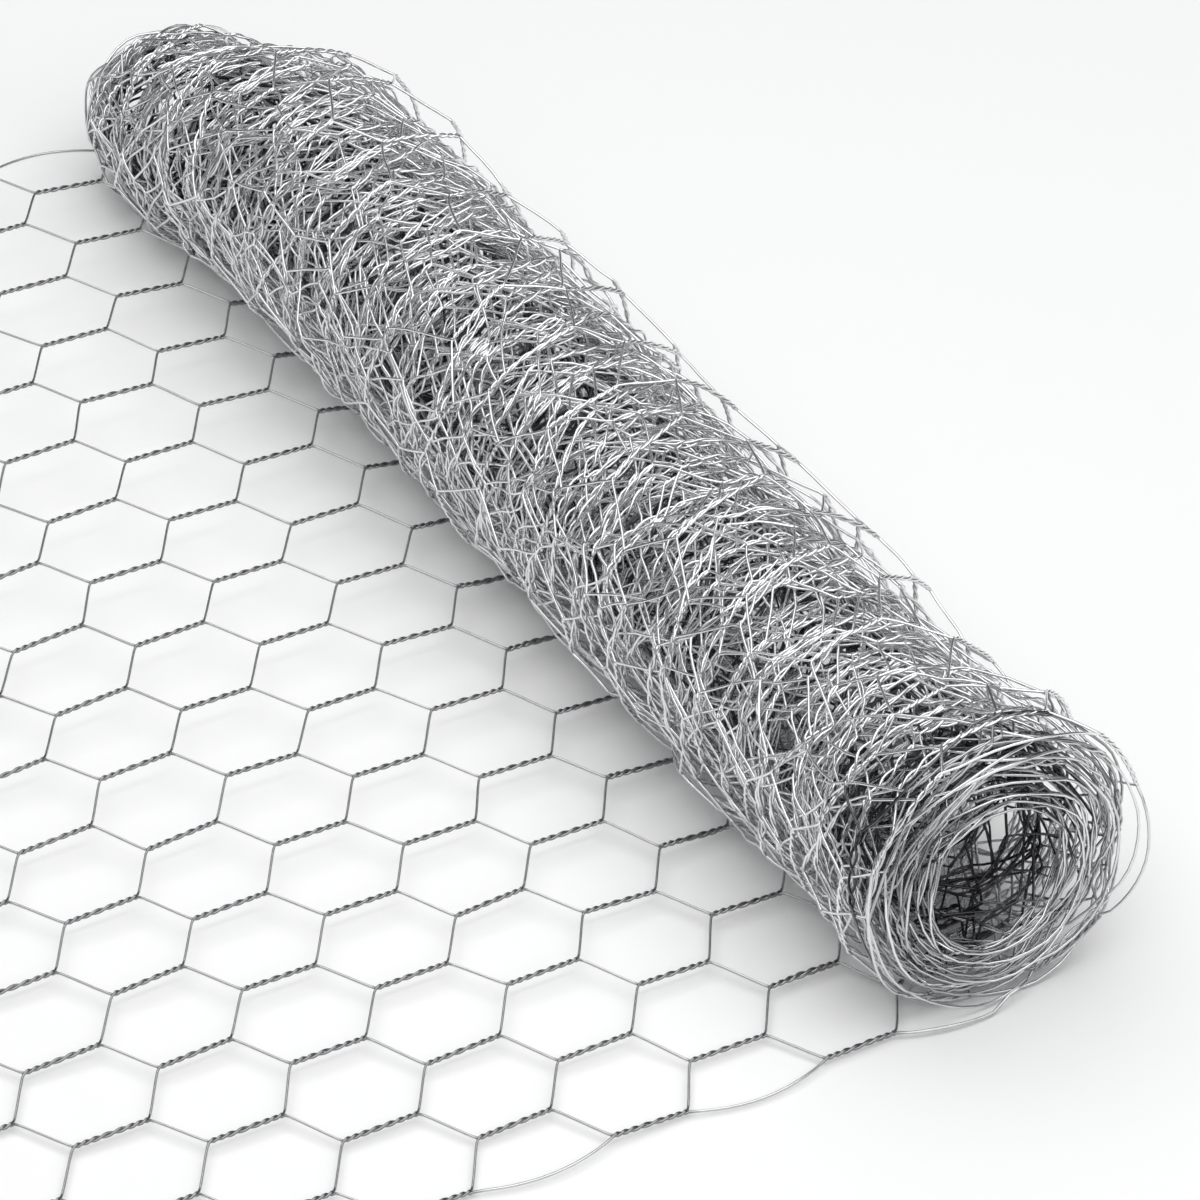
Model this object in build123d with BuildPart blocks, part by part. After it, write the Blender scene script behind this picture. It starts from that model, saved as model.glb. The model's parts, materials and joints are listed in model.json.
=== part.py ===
from build123d import *
import math
import os

# Roll of hexagonal wire netting. It lies on the floor with its outer end
# unrolled to one side, arched a little towards its far edge. Millimetres: X runs
# along the netting's length, Y along the roll, Z up. The origin is on the floor,
# in the middle of the whole.

# Netting
wire_diameter = 1.0
mesh_size = 40.0  # across a cell, between its two twisted sides
cells_across = 15
cell_pitch = 79.0  # one repeat of the pattern along the length
twist_length = 27.5
twist_strands = 2
selvedge_bow = 5.0  # how far the edge wire bows out between its twists

# Roll
outer_radius = 48.0
bore_radius = 24.0
edge_inset = 5.0  # how far each end of the roll stands in from the sheet's edge
shoulder_length = 150.0  # far stretch where the turns draw in
far_draw_in = 12.0  # how much smaller the far end is
shoulder_shares = ((0, 0), (0.5, 0.25), (1, 1))  # of the shoulder's length and its draw in

# Loose end
loose_length = 370.0  # from below the roll's axis to the cut end
tuck_length = 20.0  # flat run under the roll, past its axis
flat_length = 10.0  # flat run before the axis, where the arch begins
crest_distance = 110.0  # from below the axis back to the crest of the arch
crest_height = 17.0  # of the arch, at the far edge
first_twist_distance = 66.0  # from below the axis back to the edge's first twist
skew_share = 0.055  # sideways lean of the pattern for each unit of width
seat_clearance = 0.2  # between the roll and the netting under it

# Worked out from the sizes above
sheet_width = cells_across * mesh_size
sheet_thickness = twist_strands * wire_diameter
row_count = 2 * cells_across
row_spacing = mesh_size / 2
half_pitch = cell_pitch / 2
axis_x = (loose_length - outer_radius) / 2
axis_z = sheet_thickness + seat_clearance + outer_radius
half_width = sheet_width / 2
half_roll = half_width - edge_inset
far_end_radius = outer_radius - far_draw_in


def ridges(end_y, inward, first_radius, last_radius):
    """Points of the turns' edges on one end face, from the first radius to the last."""
    span = last_radius - first_radius
    count = max(1, round(abs(span) / sheet_thickness))
    half_step = span / count / 2
    return [
        (end_y + inward * (wire_diameter if index % 2 == 0 else 0), first_radius + index * half_step)
        for index in range(2 * count + 1)
    ]


# Rolled netting: one turned body with its bore, ridged on both ends by its turns
roll_plane = Plane(origin=(axis_x, 0, axis_z), x_dir=(0, 1, 0), z_dir=(1, 0, 0))
roll_axis = Axis(origin=(axis_x, 0, axis_z), direction=(0, 1, 0))
near_face = ridges(-half_roll, 1, bore_radius, outer_radius)
far_face = ridges(half_roll, -1, far_end_radius, bore_radius)
shoulder = [
    (half_roll - wire_diameter - (1 - along_share) * shoulder_length, outer_radius - in_share * far_draw_in)
    for along_share, in_share in shoulder_shares
]

with BuildPart() as netting_roll:
    with BuildSketch(roll_plane):
        with BuildLine():
            Polyline(*near_face)
            Polyline(near_face[-1], *shoulder)
            Polyline(*far_face)
            Line(far_face[-1], near_face[0])
        make_face()
    revolve(axis=roll_axis)
netting_roll.part.label = "netting_roll"


def pattern_x(row, step):
    """Where the twist at this row and half repeat starts, along the length."""
    return axis_x - first_twist_distance + step * half_pitch + skew_share * row * row_spacing


def pattern_y(row):
    return row * row_spacing - half_width


# Twists of every row stand half a repeat apart from those of the rows beside it
loose_start_x = axis_x - loose_length
loose_end_x = axis_x + tuck_length
first_step = -math.ceil((loose_length + skew_share * sheet_width) / half_pitch)
last_step = math.ceil((first_twist_distance + tuck_length) / half_pitch)
rows = range(row_count + 1)
steps = range(first_step, last_step + 1)
twists = [(row, step) for row in rows for step in steps if (row + step) % 2 == 0]
edge_twists = [(row, step) for row, step in twists if row in (0, row_count)]
twist_places = [(pattern_x(row, step) + twist_length / 2, pattern_y(row)) for row, step in twists]

# Underside of the sheet: flat along the near edge and under the roll, with a crest that rises to the far edge
crest_x = axis_x - crest_distance
edge_y = half_width + selvedge_bow + wire_diameter
overall_height = crest_height + sheet_thickness
cut_near = (loose_start_x, -edge_y, 0)
cut_far = (loose_start_x, edge_y, 0)
crest_near = (crest_x, -edge_y, 0)
crest_far = (crest_x, edge_y, crest_height)
flat_far = (axis_x - flat_length, edge_y, 0)
tuck_near = (loose_end_x, -edge_y, 0)
tuck_far = (loose_end_x, edge_y, 0)
panels = (
    (cut_near, crest_near, crest_far),
    (cut_near, crest_far, cut_far),
    (crest_near, flat_far, crest_far),
    (crest_near, tuck_near, tuck_far, flat_far),
)


def layer(height, thickness):
    """A plate that follows the sheet, this far above its underside."""
    faces = [Face(Wire.make_polygon([(x, y, z + height) for x, y, z in corners])) for corners in panels]
    with BuildPart() as plate:
        for face in faces:
            extrude(face, amount=thickness, dir=(0, 0, 1))
    return plate.part


single_layer = layer((sheet_thickness - wire_diameter) / 2, wire_diameter)
twist_layer = layer(0, sheet_thickness)


def zigzag(step):
    """Corners of the single wires that join two neighbouring columns of twists."""
    corners = []
    for row in rows:
        has_twist = (row + step) % 2 == 0
        corner_x = pattern_x(row, step) + twist_length if has_twist else pattern_x(row, step + 1)
        corners.append((corner_x, pattern_y(row)))
    return corners


twist_bar_length = twist_length - wire_diameter / 4  # ends within the bends of the single wires
single_slant = math.atan2(row_spacing, half_pitch - twist_length)
half_slice = wire_diameter / 2 / math.sin(single_slant)

with BuildPart() as single_wires:
    with BuildSketch():
        for step in steps:
            corners = zigzag(step)
            with BuildLine():
                Polyline(
                    *[(x - half_slice, y) for x, y in corners],
                    *[(x + half_slice, y) for x, y in reversed(corners)],
                    close=True,
                )
            make_face()
        for row, step in edge_twists:
            outward = 1 if row else -1
            start_x = pattern_x(row, step) + twist_length
            with BuildLine():
                ThreePointArc(
                    (start_x, pattern_y(row)),
                    (start_x + (cell_pitch - twist_length) / 2, pattern_y(row) + outward * selvedge_bow),
                    (pattern_x(row, step + 2), pattern_y(row)),
                )
            trace(line_width=wire_diameter)
    extrude(amount=overall_height)
    add(single_layer, mode=Mode.INTERSECT)

with BuildPart() as loose_end:
    with BuildSketch():
        with Locations(*twist_places):
            Rectangle(twist_bar_length, sheet_thickness)
    extrude(amount=overall_height)
    add(twist_layer, mode=Mode.INTERSECT)
    add(single_wires.part)
loose_end.part.label = "loose_end"

os.makedirs("parts", exist_ok=True)
export_step(netting_roll.part, "parts/netting_roll.step")
export_step(loose_end.part, "parts/loose_end.step")
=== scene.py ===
import json
import math

import bmesh
import bpy
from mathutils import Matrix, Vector, noise


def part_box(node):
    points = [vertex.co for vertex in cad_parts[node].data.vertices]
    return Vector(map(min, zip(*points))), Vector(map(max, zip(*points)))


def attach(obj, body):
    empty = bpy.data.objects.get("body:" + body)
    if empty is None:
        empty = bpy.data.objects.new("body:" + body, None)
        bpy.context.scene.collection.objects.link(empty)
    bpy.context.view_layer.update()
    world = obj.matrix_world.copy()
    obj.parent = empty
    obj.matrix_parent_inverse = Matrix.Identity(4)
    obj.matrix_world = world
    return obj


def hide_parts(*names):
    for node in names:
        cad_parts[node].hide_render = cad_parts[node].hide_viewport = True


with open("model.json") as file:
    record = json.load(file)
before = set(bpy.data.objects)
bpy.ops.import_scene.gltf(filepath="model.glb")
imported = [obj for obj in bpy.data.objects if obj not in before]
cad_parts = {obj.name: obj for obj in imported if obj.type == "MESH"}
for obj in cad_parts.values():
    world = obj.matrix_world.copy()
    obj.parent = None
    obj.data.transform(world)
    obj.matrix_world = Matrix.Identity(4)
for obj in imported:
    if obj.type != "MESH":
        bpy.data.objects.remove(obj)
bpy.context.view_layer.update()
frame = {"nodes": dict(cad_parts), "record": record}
rollLow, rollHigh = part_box("netting_roll")
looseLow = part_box("loose_end")[0]
spindle = next(m for m in frame["record"]["mounts"] if m["name"] == "spindle_bore")
axisX = spindle["pos_m"][0]
noise.seed_set(7)  # the wander of the wires is the same at every run
print("frame loaded:", sorted(frame["nodes"]))

# the netting as it is woven; lengths are in metres here and below
netting = {
    "wire": 0.0010,        # wire diameter
    "meshSize": 0.040,     # across a cell, between its two twisted sides
    "cells": 15,           # cells across the sheet
    "pitch": 0.079,        # one repeat along the length
    "twist": 0.0275,       # length of a twisted side
    "skew": 0.055,         # lean of the pattern across the sheet
    "firstTwist": 0.066,   # from below the axis back to the edge's first twist
    "edgeBow": 0.006,      # how far the edge wires bow out
    "bowFullness": 0.8,    # below 1 the bows are fuller than a half wave
    "bend": 0.12,          # how softly a single wire leaves its twist
    "twistBend": 0.7,      # share of the roll's curve that a twist takes on
    "twistTightness": 0.05,  # how much tighter a twist is at its ends
    "openingMean": 0.5,    # how far the twists of the roll have opened
    "openingSpread": 1.5,  # how much that differs between them
    "openingGrain": (0.83, 0.67, 5.9),
}

wire = netting["wire"]
rowCount = 2 * netting["cells"]
rowSpacing = netting["meshSize"] / 2
halfWidth = rowCount * rowSpacing / 2
halfPitch = netting["pitch"] / 2
skewLength = 2 * halfWidth * netting["skew"]


def ease(value):
    value = min(max(value, 0.0), 1.0)
    return value * value * (3 - 2 * value)


# a grain is the scale of the noise in two directions and its place in the third
def grainPoint(a, b, grain):
    return Vector((a * grain[0], b * grain[1], grain[2]))


def wander(a, b, grain):
    return noise.noise(grainPoint(a, b, grain))


# a coarse wander with a finer one on top
def ruffle(s, y, grain, fineShare, fineGrain):
    return wander(s, y, grain) + fineShare * wander(s, y, fineGrain)


# 1 at the near end of the roll, 0 this far from it and beyond
def nearShare(y, length):
    return ease(1 - (y - rollLow.y) / length)


# 1 at the far end of the roll, 0 this far from it and beyond
def farShare(y, length):
    return ease(1 + (y - rollHigh.y) / length) ** 2


# the loose end on the floor
loose = {
    "length": axisX - looseLow.x,
    "lift": 0.016,         # height of its arch at the far edge
    "archLean": 0.65,      # below 1 the crest stands nearer to the roll
    "ripple": 0.0016,      # how uneven the arch is
    "rippleGrain": (14, 9, 4.2),
    "corner": 0.0012,      # how uneven its cells are
}


def flatPoint(s, y):
    across = (y + halfWidth) / (2 * halfWidth)
    arch = math.sin(math.pi * min(-s / loose["length"], 1) ** loose["archLean"])
    lift = loose["lift"] * math.sin(math.pi / 2 * across) * arch
    ripple = loose["ripple"] * (1 + wander(s, y, loose["rippleGrain"])) * arch
    return Vector((axisX + s, y, wire + lift + ripple)), Vector((0, 0, 1))


# how the sheet is wound up
roll = {
    "turns": 26,
    "outer": 0.0470,
    "inner": 0.0245,
    "settleRate": 1.4,     # how soon the sheet becomes as uneven as the turns are
    "packing": 1.20,       # above 1 the outer turns lie closer than the inner ones
    "groups": 2.4,         # groups that the turns draw together in
    "groupSway": 0.12,     # how far a group changes round the roll
    "groupPhase": 1.0,
    "bunching": 0.0009,    # how far the turns of a group draw together
}

tightening = (roll["outer"] - roll["inner"]) / (2 * math.pi * roll["turns"])
woundLength = math.pi * roll["turns"] * (roll["outer"] + roll["inner"])
print("wound length", round(woundLength, 2))


# how far round the roll the sheet has gone, in radians, at this length from below the axis
def windAngle(s):
    return (roll["outer"] - math.sqrt(max(roll["outer"] ** 2 - 2 * tightening * s, 0))) / tightening


def settled(turn):
    return ease(turn * roll["settleRate"])


# the near end, where the outer turns widen
nearEnd = {
    "length": 0.10,        # stretch where the turns lie evenly
    "lean": 0.002,         # how far it leans away from the loose end
    "flare": 0.0060,       # widening of the outermost turn
    "flareLength": 0.060,
    "flareFade": 0.8,      # share of it that the innermost turn lacks
    "flareRise": 0.8,      # share of it that lifts the turn
}


# how deep in the roll a turn lies: 0 outside, 1 inside
def turnDepth(turn, y):
    power = roll["packing"] + (1 - roll["packing"]) * nearShare(y, nearEnd["length"])
    return min(max(turn / roll["turns"], 0), 1) ** power


def flare(turn, y):
    widest = nearEnd["flare"] * nearShare(y, nearEnd["flareLength"])
    return widest * (1 - nearEnd["flareFade"] * turnDepth(turn, y))


# the far end, where the turns draw in and sag
farEnd = {
    "length": 0.150,
    "drawIn": 0.20,        # share of the radius that is lost there
    "closeUp": 0.35,       # how far the inner turns press outwards there
    "droop": 0.0120,       # how far it sags
    "swing": 0.0085,       # how far it leans over the loose end
    "dome": 0.14,          # share of the radius that bends in at the very end
    "domeLength": 0.030,
    "telescope": 0.0080,   # how far the inner turns are pushed out there
    "telescopeFrom": 0.3,  # length from the near end over which that grows
}

# the rings that the turns form on the near end
rings = {
    "turns": 3.4,          # turns to a ring
    "start": 0.5,          # turns from the outside before the first one
    "uneven": 1.6,         # how uneven they are, in radians
    "grain": (0.21, 4.4, 2.6),
    "gap": 0.00060,        # how closely the turns of a ring bunch
    "recess": 0.0110,      # how far the turns between two rings stand back
    "recessLength": 0.07,  # stretch of the roll that stands back with them
    "pressed": 0.6,        # share of that which the roll's weight takes away below
}


# where a turn is between two rings, in radians
def ringPhase(angle):
    return angle / rings["turns"] + rings["uneven"] * wander(angle, 1, rings["grain"])


# how far a turn stands back from the rings, from 0 to 1
def setBack(angle):
    return (0.5 - 0.5 * math.cos(ringPhase(angle))) * ease(angle / (2 * math.pi) - rings["start"])


# the share of it that the weight of the roll leaves: 1 above, least below
def unpressed(angle):
    return 1 - rings["pressed"] * ease(0.5 + 0.5 * math.cos(angle)) ** 2


# the outermost turn stands off the roll on its open side; from, rise, until and fall are in turns
openTurn = {
    "from": 0.04,
    "rise": 0.20,
    "until": 0.42,
    "fall": 0.35,
    "stand": 0.0050,       # how far it stands off
    "wave": 0.7,           # how uneven that is along the roll
    "waveGrain": (11, 3.1, 0.4),
    "fine": 0.6,           # and from wire to wire
    "fineGrain": (33, 20, 6.4),
    "nearLoss": 0.4,       # share of it that the near end lacks
    "nearStand": 0.0020,   # what the very edge has instead
    "nearLength": 0.12,
}


def standOff(s, y, turn):
    start = ease((turn - openTurn["from"]) / openTurn["rise"])
    end = ease((turn - openTurn["until"]) / openTurn["fall"])
    wave = openTurn["wave"] * wander(y, 1, openTurn["waveGrain"])
    fine = openTurn["fine"] * wander(y, s, openTurn["fineGrain"])
    stand = openTurn["stand"] * (1 + wave + fine)
    stand *= 1 - openTurn["nearLoss"] * nearShare(y, nearEnd["length"])
    stand += openTurn["nearStand"] * nearShare(y, openTurn["nearLength"])
    return start * (1 - end) * stand


# the innermost turns hang loose in the bore
innerTurns = {
    "count": 7,
    "rise": 5,             # turns over which they loosen
    "wander": 0.0080,      # in and out
    "grain": (13, 12, 2.2),
    "fineShare": 0.5,
    "fineGrain": (37, 30, 7.1),
    "side": 0.0300,        # along the roll
    "sideGrain": (15, 15, 6.6),
}


def loosened(turn):
    return ease((turn - roll["turns"] + innerTurns["count"]) / innerTurns["rise"])


# how unevenly all the turns lie
uneven = {
    "radial": 0.0022,      # in and out
    "radialGrain": (16, 16, 1.7),
    "radialFine": 0.7,
    "radialFineGrain": (41, 41, 8.3),
    "radialCalm": 0.85,    # share of it that the near end lacks
    "calmLength": 0.04,
    "side": 0.0260,        # along the roll
    "sideGrain": (7, 7, 5.5),
    "sideFine": 0.5,
    "sideFineGrain": (24, 24, 7.7),
    "sideEdge": 0.2,       # share of it that is left at the edges of the sheet
    "sideEdgeLength": 0.035,
    "length": 0.0140,      # round the roll
    "lengthGrain": (8, 8, 3.6),
    "corner": 0.0084,      # of each corner by itself
    "cornerEdge": 0.2,     # share of it that the near edge has
    "cornerLift": 0.6,     # share of it that goes in and out
    "leftGrain": (1.37, 1.71, 2.3),
    "rightGrain": (1.37, 1.71, 9.1),
    "swayScale": 65,       # how close together the small bends of a wire are
    "swayCalm": 0.6,       # how much smaller they are at the near end
    "swayCalmLength": 0.03,
}


def turnRadius(s, y, angle, turn):
    group = roll["groups"] * turn / roll["turns"] + roll["groupSway"] * math.sin(angle + roll["groupPhase"])
    rough = ruffle(s, y, uneven["radialGrain"], uneven["radialFine"], uneven["radialFineGrain"])
    calm = 1 - uneven["radialCalm"] * nearShare(y, uneven["calmLength"])
    inner = ruffle(s, y, innerTurns["grain"], innerTurns["fineShare"], innerTurns["fineGrain"])
    depth = turnDepth(turn, y) * (1 - farEnd["closeUp"] * farShare(y, farEnd["length"]))
    change = roll["bunching"] * math.sin(2 * math.pi * group)
    change += rings["gap"] * math.sin(ringPhase(angle))
    change += flare(turn, y) + uneven["radial"] * calm * rough
    radius = roll["outer"] - (roll["outer"] - roll["inner"]) * depth + change * settled(turn)
    radius += innerTurns["wander"] * loosened(turn) * inner + standOff(s, y, turn)
    return radius * (1 - farEnd["dome"] * farShare(y, farEnd["domeLength"]))


# where a point of a turn lies along the roll, which is a little shorter than the sheet is wide
def turnPlace(s, y, angle, turn):
    rough = ruffle(s, y, uneven["sideGrain"], uneven["sideFine"], uneven["sideFineGrain"])
    side = uneven["side"] * settled(turn) * rough
    side += innerTurns["side"] * loosened(turn) * wander(s, y, innerTurns["sideGrain"])
    fromEdge = ease((halfWidth - abs(y)) / uneven["sideEdgeLength"])
    side *= uneven["sideEdge"] + (1 - uneven["sideEdge"]) * fromEdge
    side += farEnd["telescope"] * turn / roll["turns"] * (1 - nearShare(y, farEnd["telescopeFrom"]))
    side += rings["recess"] * setBack(angle) * unpressed(angle) * nearShare(y, rings["recessLength"])
    return y * (1 + (rollHigh.y / halfWidth - 1) * settled(turn)) + side


def rolledPoint(s, y):
    angle = windAngle(s)
    turn = angle / (2 * math.pi)
    angle += uneven["length"] * settled(turn) * wander(s, y, uneven["lengthGrain"]) / roll["outer"]
    far = farShare(y, farEnd["length"])
    share = 1 - farEnd["drawIn"] * far
    leaning = nearEnd["lean"] * nearShare(y, nearEnd["length"]) - farEnd["swing"] * far
    raised = nearEnd["flareRise"] * flare(turn, y) - farEnd["droop"] * far
    centreZ = wire + share * roll["outer"] + raised
    centre = Vector((axisX + leaning, turnPlace(s, y, angle, turn), centreZ))
    outward = Vector((math.sin(angle), 0, -math.cos(angle)))
    place = centre + outward * turnRadius(s, y, angle, turn) * share
    place.z = max(place.z, wire)
    return place, outward


# where a point of the flat sheet lies: s along its length from below the axis, y across it
def sheetPoint(s, y):
    return flatPoint(s, y) if s < 0 else rolledPoint(s, y)


# painted shade on the wire, from 0 to 1: none outside, painted shade deep in the roll where the outer turns
# keep the light off, and painted shade in the recesses between the rings of its ends
shade = {
    "flatTwist": 0.74,     # painted shade on the twists of the loose end, where the strands shade each other
    "flatSingle": 0.32,    # painted shade on its single wires
    "flatFade": 0.3,       # turns over which the roll's own shade takes over
    "brightTurns": 14.0,   # turns from the outside that have no painted shade
    "fadeTurns": 10.0,     # turns over which the painted shade grows
    "nearLoss": 0.64,      # share of both that the near end lacks
    "nearLength": 0.06,
    "farLoss": 0.25,       # and the far end
    "bandWidth": 0.7,      # below 1 the bands of painted shade between the rings are wider
    "bandLength": 0.015,   # how far in the bands reach
    "farBands": 0.3,       # how strong they are on the far end
}


def paintedShade(s, y, twisted):
    flat = shade["flatTwist"] if twisted else shade["flatSingle"]
    if s < 0:
        return flat
    angle = windAngle(s)
    turn = angle / (2 * math.pi)
    bright = 1 - shade["nearLoss"] * nearShare(y, shade["nearLength"])
    bright *= 1 - shade["farLoss"] * farShare(y, farEnd["length"])
    # painted shade that deepens with the turn, as little light reaches the inner turns
    depth = ease((turn - shade["brightTurns"] * bright) / (shade["fadeTurns"] * bright))
    # painted shade in the recesses between the rings near the ends, less below where the recess is pressed
    # shallower
    band = setBack(angle) ** shade["bandWidth"] * unpressed(angle) * (1 if y < 0 else shade["farBands"])
    depth += (band - depth) * ease(1 - (rollHigh.y - abs(y)) / shade["bandLength"])
    # the painted shade of the loose end fades into the roll's over its first turn
    return max(depth, flat * ease(1 - turn / shade["flatFade"]))


# where the twist at this row and half repeat starts on the flat sheet
def patternPlace(row, step):
    y = row * rowSpacing - halfWidth
    return step * halfPitch - netting["firstTwist"] + netting["skew"] * (y + halfWidth), y


cornerCache = {}


# the left or right end of a twist; the wires that meet there share it
def corner(row, step, right):
    key = (row, step, right)
    if key not in cornerCache:
        s, y = patternPlace(row, step)
        s += netting["twist"] if right else 0
        amount = loose["corner"] if s < 0 else uneven["corner"] * (1 if row else uneven["cornerEdge"])
        grain = uneven["rightGrain"] if right else uneven["leftGrain"]
        shake = noise.noise_vector(grainPoint(row, step, grain)) * amount
        place, normal = sheetPoint(s + shake.x, y + shake.y)
        cornerCache[key] = (place + normal * shake.z * uneven["cornerLift"], normal)
    return cornerCache[key]


# one strand of a twist; the strand starts and ends on its own side of the pair
def strand(row, step, side, detail):
    left, leftNormal = corner(row, step, False)
    right, rightNormal = corner(row, step, True)
    along = (right - left).normalized()
    normal = (leftNormal + rightNormal).normalized()
    across = normal.cross(along).normalized()
    normal = along.cross(across)
    arcHeight = (leftNormal - rightNormal).length * (right - left).length / 8  # of an arc over its chord
    opened = netting["openingMean"] + netting["openingSpread"] * wander(row, step, netting["openingGrain"])
    path = []
    for index in range(detail["twistPoints"] + 1):
        share = index / detail["twistPoints"]
        tightness = netting["twistTightness"] * math.sin(2 * math.pi * share)
        angle = -2 * math.pi * detail["twistTurns"] * (share + tightness)
        offset = across * math.cos(angle) + normal * math.sin(angle)
        bulge = arcHeight * netting["twistBend"] * 4 * share * (1 - share)
        gap = detail["spread"] + detail["opening"] * max(0.0, opened) * math.sin(math.pi * share)
        path.append(left.lerp(right, share) + normal * bulge + offset * side * wire * gap)
    return path, along


# a single wire between two twists, eased out of one and into the next
def single(start, startAlong, end, endAlong, points):
    reach = (end - start).length * netting["bend"]
    path = []
    for index in range(1, points):
        f = index / points
        path.append(
            start * (1 + 2 * f) * (1 - f) ** 2
            + startAlong * reach * f * (1 - f) ** 2
            + end * f * f * (3 - 2 * f)
            - endAlong * reach * f * f * (1 - f)
        )
    return path


# a net wire goes to and fro between two rows, twisted with one neighbour and then the other
def netWire(index, steps, detail):
    # each point of the wire also gets its amount of painted shade
    path, paintedDark = [], []
    previous = None
    for step in steps:
        onOwnRow = (index + step) % 2 == 0
        row = index if onOwnRow else index + 1
        points, along = strand(row, step, 1 if onOwnRow else -1, detail)
        if previous:
            path += single(path[-1], previous, points[0], along, detail["singlePoints"])
        s, y = patternPlace(row, step)
        paintedDark += [paintedShade(s, y, False)] * (len(path) - len(paintedDark))
        path += points
        paintedDark += [paintedShade(s, y, True)] * len(points)
        previous = along
    return path, paintedDark


# an edge wire is twisted with the outermost net wire and bows out between the twists
def edgeWire(row, steps, detail):
    # each point of the edge wire also gets its amount of painted shade
    path, paintedDark = [], []
    outward = -1 if row == 0 else 1
    gap = netting["pitch"] - netting["twist"]
    for step in steps:
        if (row + step) % 2:
            continue
        points = strand(row, step, outward, detail)[0]
        path += points
        s, y = patternPlace(row, step)
        paintedDark += [paintedShade(s, y, True)] * len(points)
        s += netting["twist"]
        for index in range(1, detail["arcPoints"]):
            f = index / detail["arcPoints"]
            bow = netting["edgeBow"] * math.sin(math.pi * f) ** netting["bowFullness"]
            path.append(sheetPoint(s + gap * f, y + outward * bow)[0])
        paintedDark += [paintedShade(s, y, False)] * (len(path) - len(paintedDark))
    return path, paintedDark


# a round wire along a path, capped at both ends
def addTube(path, sides, corners, faces):
    rim = [(math.cos(2 * math.pi * k / sides) * wire / 2, math.sin(2 * math.pi * k / sides) * wire / 2)
           for k in range(sides)]
    first = len(corners)
    normal = Vector((0.31, 0.17, 0.94))  # any direction that no wire starts in
    last = len(path) - 1
    for index, point in enumerate(path):
        along = (path[min(index + 1, last)] - path[max(index - 1, 0)]).normalized()
        normal = (normal - along * normal.dot(along)).normalized()
        beside = along.cross(normal)
        corners += [point + normal * c + beside * d for c, d in rim]
    for index in range(last):
        low = first + index * sides
        for k in range(sides):
            after = (k + 1) % sides
            faces.append((low + k, low + after, low + sides + after, low + sides + k))
    faces.append(tuple(range(first + sides - 1, first - 1, -1)))
    faces.append(tuple(range(first + last * sides, first + (last + 1) * sides)))


# a point of a wire with its small bends, kept above the floor
def swayed(place, amount):
    calm = 1 - uneven["swayCalm"] * nearShare(place.y, uneven["swayCalmLength"])
    place = place + noise.noise_vector(place * uneven["swayScale"]) * amount * calm
    place.z = max(place.z, wire / 2)
    return place


# the zinc on the wire, with blotches of lighter and darker coating; the painted shade attribute darkens it
# towards a painted shade colour
zinc = {
    "dark": (0.78, 0.79, 0.80, 1),
    "light": (0.95, 0.955, 0.96, 1),
    # near-black colour of the painted shade
    "paintedDark": (0.08, 0.08, 0.085, 1),
    "roughLow": 0.14,
    "roughHigh": 0.27,
    "blotch": 240.0,       # how fine the blotches of the coating are
    "blotchDetail": 3.0,
}


def galvanisedWire():
    material = bpy.data.materials.new("galvanisedWire")
    material.use_nodes = True
    nodes, links = material.node_tree.nodes, material.node_tree.links
    shader = nodes["Principled BSDF"]
    shader.inputs["Metallic"].default_value = 1.0
    place = nodes.new("ShaderNodeTexCoord")
    blotch = nodes.new("ShaderNodeTexNoise")
    blotch.inputs["Scale"].default_value = zinc["blotch"]
    blotch.inputs["Detail"].default_value = zinc["blotchDetail"]
    tint = nodes.new("ShaderNodeMix")
    tint.data_type = "RGBA"
    tint.inputs["A"].default_value = zinc["dark"]
    tint.inputs["B"].default_value = zinc["light"]
    paintedDark = nodes.new("ShaderNodeAttribute")
    paintedDark.attribute_name = "paintedShade"
    # painted shade: the attribute mixes the coating towards the painted shade colour
    shadowMix = nodes.new("ShaderNodeMix")
    shadowMix.data_type = "RGBA"
    shadowMix.inputs["B"].default_value = zinc["paintedDark"]
    rough = nodes.new("ShaderNodeMapRange")
    rough.inputs["To Min"].default_value = zinc["roughHigh"]
    rough.inputs["To Max"].default_value = zinc["roughLow"]
    links.new(place.outputs["Object"], blotch.inputs["Vector"])
    links.new(blotch.outputs["Fac"], tint.inputs["Factor"])
    links.new(blotch.outputs["Fac"], rough.inputs["Value"])
    links.new(paintedDark.outputs["Fac"], shadowMix.inputs["Factor"])
    links.new(tint.outputs["Result"], shadowMix.inputs["A"])
    links.new(shadowMix.outputs["Result"], shader.inputs["Base Color"])
    links.new(rough.outputs["Result"], shader.inputs["Roughness"])
    return material


galvanised = galvanisedWire()


def wirePiece(detail):
    steps = range(detail["from"], detail["to"] + 1)
    wires = [netWire(index, steps, detail) for index in range(rowCount)]
    wires += [edgeWire(row, steps, detail) for row in (0, rowCount)]
    corners, faces, shades = [], [], []
    for path, paintedDark in wires:
        path = [swayed(p, detail["sway"]) for p in path]
        kept = [(p, d) for p, d in zip(path, paintedDark) if p.x > looseLow.x]  # the cut end of the sheet
        if len(kept) > 1:
            addTube([p for p, d in kept], detail["sides"], corners, faces)
            shades += [d for p, d in kept for side in range(detail["sides"])]
    mesh = bpy.data.meshes.new(detail["name"])
    mesh.from_pydata(corners, [], faces)
    mesh.shade_smooth()
    # the painted shade amounts go on the points as an attribute
    mesh.attributes.new("paintedShade", "FLOAT", "POINT").data.foreach_set("value", shades)
    mesh.materials.append(galvanised)
    piece = bpy.data.objects.new(detail["name"], mesh)
    bpy.context.scene.collection.objects.link(piece)
    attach(piece, "root")
    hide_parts(detail["node"])
    mesh.calc_loop_triangles()
    print("wires:", detail["name"], len(mesh.loop_triangles), "triangles")


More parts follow.
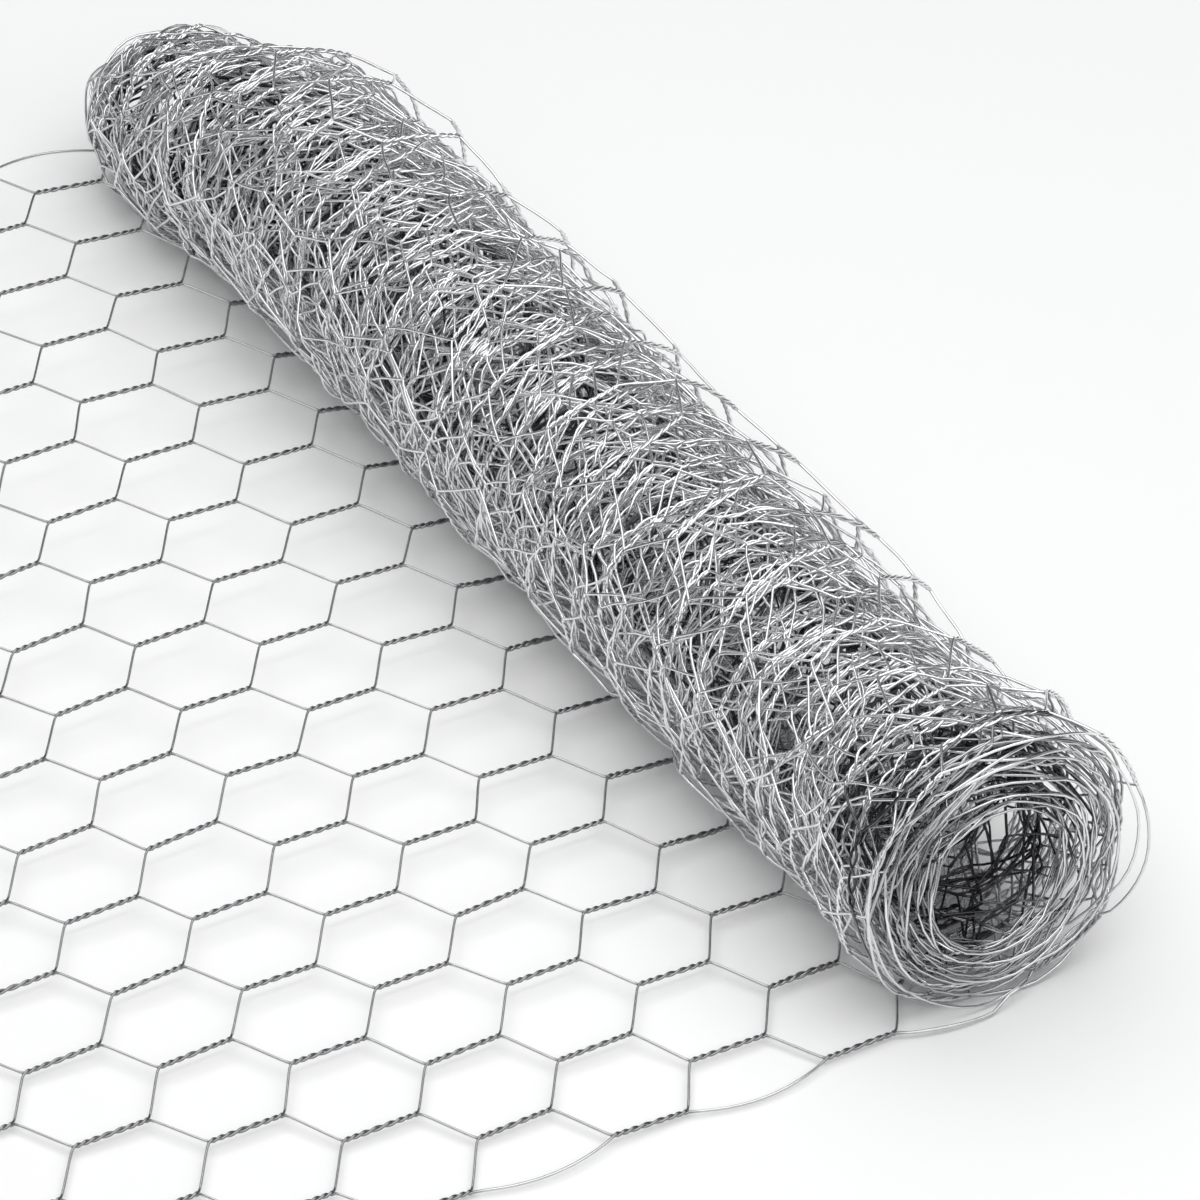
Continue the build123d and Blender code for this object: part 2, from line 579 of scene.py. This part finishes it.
# half repeats of the pattern where one piece ends and the next begins; the outermost turn has 7 or 8
firstStep = -math.ceil((loose["length"] + skewLength) / halfPitch)
looseTo = math.floor((netting["firstTwist"] - skewLength) / halfPitch)
outerTo = looseTo + 8
upperTo = outerTo + 20
underTo = upperTo + 26
middleTo = underTo + 36
lastStep = math.floor((woundLength + netting["firstTwist"] - skewLength) / halfPitch) - 1

# the deeper a piece lies, the less detail it has; spread and opening of a twist are in wire diameters
wirePieces = [
    {
        "name": "loose_end_wires", "node": "loose_end", "from": firstStep, "to": looseTo,
        "spread": 0.5, "opening": 0.0, "sway": 0.0,
        "twistPoints": 28, "twistTurns": 4, "singlePoints": 6, "arcPoints": 12, "sides": 6,
    },
    {
        "name": "outer_turn", "node": "netting_roll", "from": looseTo, "to": outerTo,
        "spread": 0.5, "opening": 0.0, "sway": 0.0010,
        "twistPoints": 24, "twistTurns": 4, "singlePoints": 6, "arcPoints": 12, "sides": 6,
    },
    {
        "name": "upper_turns", "node": "netting_roll", "from": outerTo, "to": upperTo,
        "spread": 0.45, "opening": 0.7, "sway": 0.0020,
        "twistPoints": 17, "twistTurns": 2, "singlePoints": 6, "arcPoints": 10, "sides": 6,
    },
    {
        "name": "under_turns", "node": "netting_roll", "from": upperTo, "to": underTo,
        "spread": 0.45, "opening": 0.8, "sway": 0.0020,
        "twistPoints": 13, "twistTurns": 2, "singlePoints": 5, "arcPoints": 8, "sides": 6,
    },
    {
        "name": "middle_turns", "node": "netting_roll", "from": underTo, "to": middleTo,
        "spread": 0.45, "opening": 0.8, "sway": 0.0020,
        "twistPoints": 10, "twistTurns": 2, "singlePoints": 4, "arcPoints": 8, "sides": 5,
    },
    {
        "name": "inner_turns", "node": "netting_roll", "from": middleTo, "to": lastStep,
        "spread": 0.45, "opening": 0.8, "sway": 0.0020,
        "twistPoints": 6, "twistTurns": 1, "singlePoints": 4, "arcPoints": 8, "sides": 4,
    },
]

for detail in wirePieces:
    wirePiece(detail)

studio = {
    "floorSize": 12.0,
    "floorDrop": 0.0002,   # keeps the floor clear of the wires that lie on it
    "floorColour": (0.94, 0.94, 0.94, 1),
    "floorRough": 0.9,
    "floorShine": 0.1,
    "worldColour": (0.55, 0.56, 0.58, 1),
    "worldStrength": 0.26,
}


def makeFloor():
    mesh = bpy.data.meshes.new("floor")
    shape = bmesh.new()
    bmesh.ops.create_grid(shape, x_segments=1, y_segments=1, size=studio["floorSize"] / 2)
    bmesh.ops.translate(shape, verts=shape.verts, vec=(0, 0, -studio["floorDrop"]))
    shape.to_mesh(mesh)
    shape.free()
    floor = bpy.data.objects.new("floor", mesh)
    bpy.context.scene.collection.objects.link(floor)
    paint = bpy.data.materials.new("paleFloor")
    paint.use_nodes = True
    shader = paint.node_tree.nodes["Principled BSDF"]
    shader.inputs["Base Color"].default_value = studio["floorColour"]
    shader.inputs["Roughness"].default_value = studio["floorRough"]
    shader.inputs["Specular IOR Level"].default_value = studio["floorShine"]
    mesh.materials.append(paint)


def makeWorld():
    world = bpy.data.worlds.new("studio")
    world.use_nodes = True
    background = world.node_tree.nodes["Background"]
    background.inputs["Color"].default_value = studio["worldColour"]
    background.inputs["Strength"].default_value = studio["worldStrength"]
    bpy.context.scene.world = world


lamps = [
    {
        "name": "topLight", "place": (0.0, 0.3, 2.0), "target": (0.0, 0.3, 0.0),
        "size": (3.0, 3.0), "watts": 41,
    },
    {
        "name": "frontLight", "place": (0.1, -1.9, 2.2), "target": (0.05, 0.0, 0.03),
        "size": (5.0, 2.6), "watts": 54,
    },
]


def softbox(lamp):
    data = bpy.data.lights.new(lamp["name"], "AREA")
    data.shape = "RECTANGLE"
    data.size, data.size_y = lamp["size"]
    data.energy = lamp["watts"]
    light = bpy.data.objects.new(lamp["name"], data)
    light.location = lamp["place"]
    aim = Vector(lamp["target"]) - Vector(lamp["place"])
    light.rotation_euler = aim.to_track_quat("-Z", "Y").to_euler()
    bpy.context.scene.collection.objects.link(light)


makeFloor()
makeWorld()
for lamp in lamps:
    softbox(lamp)
print("studio ready")

view = {
    "target": (0.1577, -0.0393, 0.0),  # where the lens axis meets the floor
    "distance": 2.377,
    "heading": 29.3,       # degrees from +Y towards +X
    "elevation": 36.0,     # degrees the camera looks down
    "lens": 199.7,
}


def makeCamera():
    data = bpy.data.cameras.new("camera")
    data.lens = view["lens"]
    camera = bpy.data.objects.new("camera", data)
    heading, elevation = math.radians(view["heading"]), math.radians(view["elevation"])
    forward = Vector((
        math.sin(heading) * math.cos(elevation),
        math.cos(heading) * math.cos(elevation),
        -math.sin(elevation),
    ))
    camera.location = Vector(view["target"]) - forward * view["distance"]
    camera.rotation_euler = (math.pi / 2 - elevation, 0, -heading)
    bpy.context.scene.collection.objects.link(camera)
    bpy.context.scene.camera = camera


makeCamera()
bpy.context.scene.view_settings.view_transform = "Standard"
print("camera ready")
